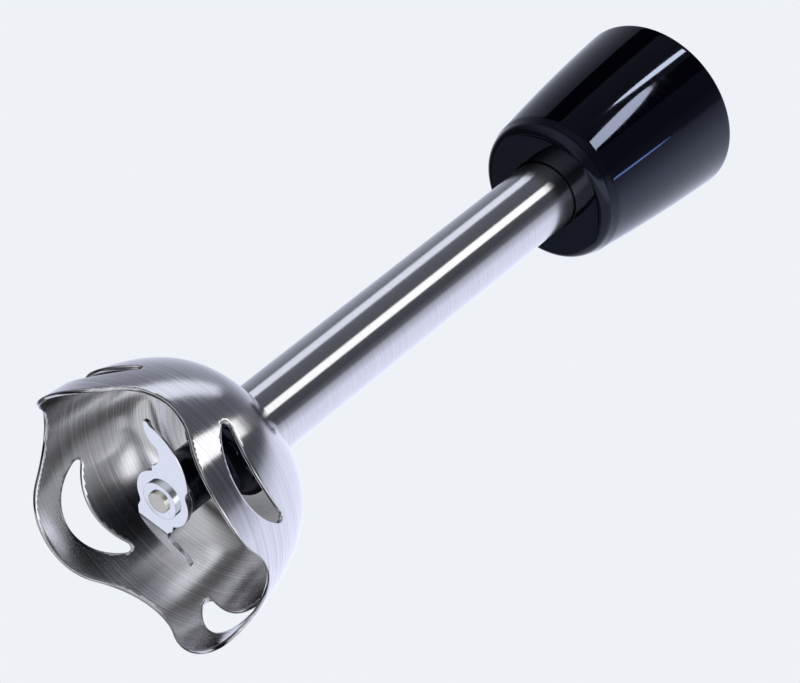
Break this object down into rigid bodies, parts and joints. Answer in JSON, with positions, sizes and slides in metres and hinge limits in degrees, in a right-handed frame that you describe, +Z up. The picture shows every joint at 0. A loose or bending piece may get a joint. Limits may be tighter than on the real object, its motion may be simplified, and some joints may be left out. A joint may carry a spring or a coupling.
{
  "type": "immersion blender foot",
  "caption": "Detachable blending foot of a stick blender: slotted steel bell with spinning blade, slim tube, and black coupling collar.",
  "frame": {"origin": "on the shaft axis, in the plane of the four lobe tips that the bell stands on", "axes": "+Z up the drive shaft towards the coupling collar, +X through the middle of one lobe and its slot"},
  "size_m": [0.0702, 0.0702, 0.2143],
  "materials": {
    "brushed_steel_shell": "brushed",
    "gloss_black_plastic": "gloss",
    "matte_black_plastic": "matte",
    "black_rubber": "matte",
    "sintered_bronze": "satin",
    "polished_steel": "polished",
    "machine_steel": "satin",
    "nylon": "satin"
  },
  "bodies": {
    "foot": {"bell_guard": "brushed_steel_shell", "shaft_tube": "brushed_steel_shell", "coupling_cover": "gloss_black_plastic", "coupling_socket": "matte_black_plastic", "tube_seal_ring": "black_rubber", "bearing_housing": "gloss_black_plastic", "housing_o_ring": "black_rubber", "lower_bushing": "sintered_bronze", "shaft_seal": "black_rubber", "seal_spring": "machine_steel", "seal_retainer": "machine_steel", "shaft_guide": "nylon", "upper_bearing_carrier": "matte_black_plastic", "carrier_o_ring": "black_rubber", "upper_bushing": "sintered_bronze", "carrier_screws": "machine_steel"},
    "drive": {"drive_shaft": "machine_steel", "blade": "polished_steel", "hub_washer": "machine_steel", "blade_spacer": "polished_steel", "lower_thrust_washer": "nylon", "upper_thrust_washer": "nylon", "retaining_ring": "machine_steel", "driven_coupling": "matte_black_plastic", "coupling_pin": "machine_steel"}
  },
  "joints": [
    {"name": "drive_spin", "type": "hinge", "parent": "foot", "child": "drive", "pos_m": [0, 0, 0.1], "axis": [0, 0, 1], "continuous": true}
  ]
}
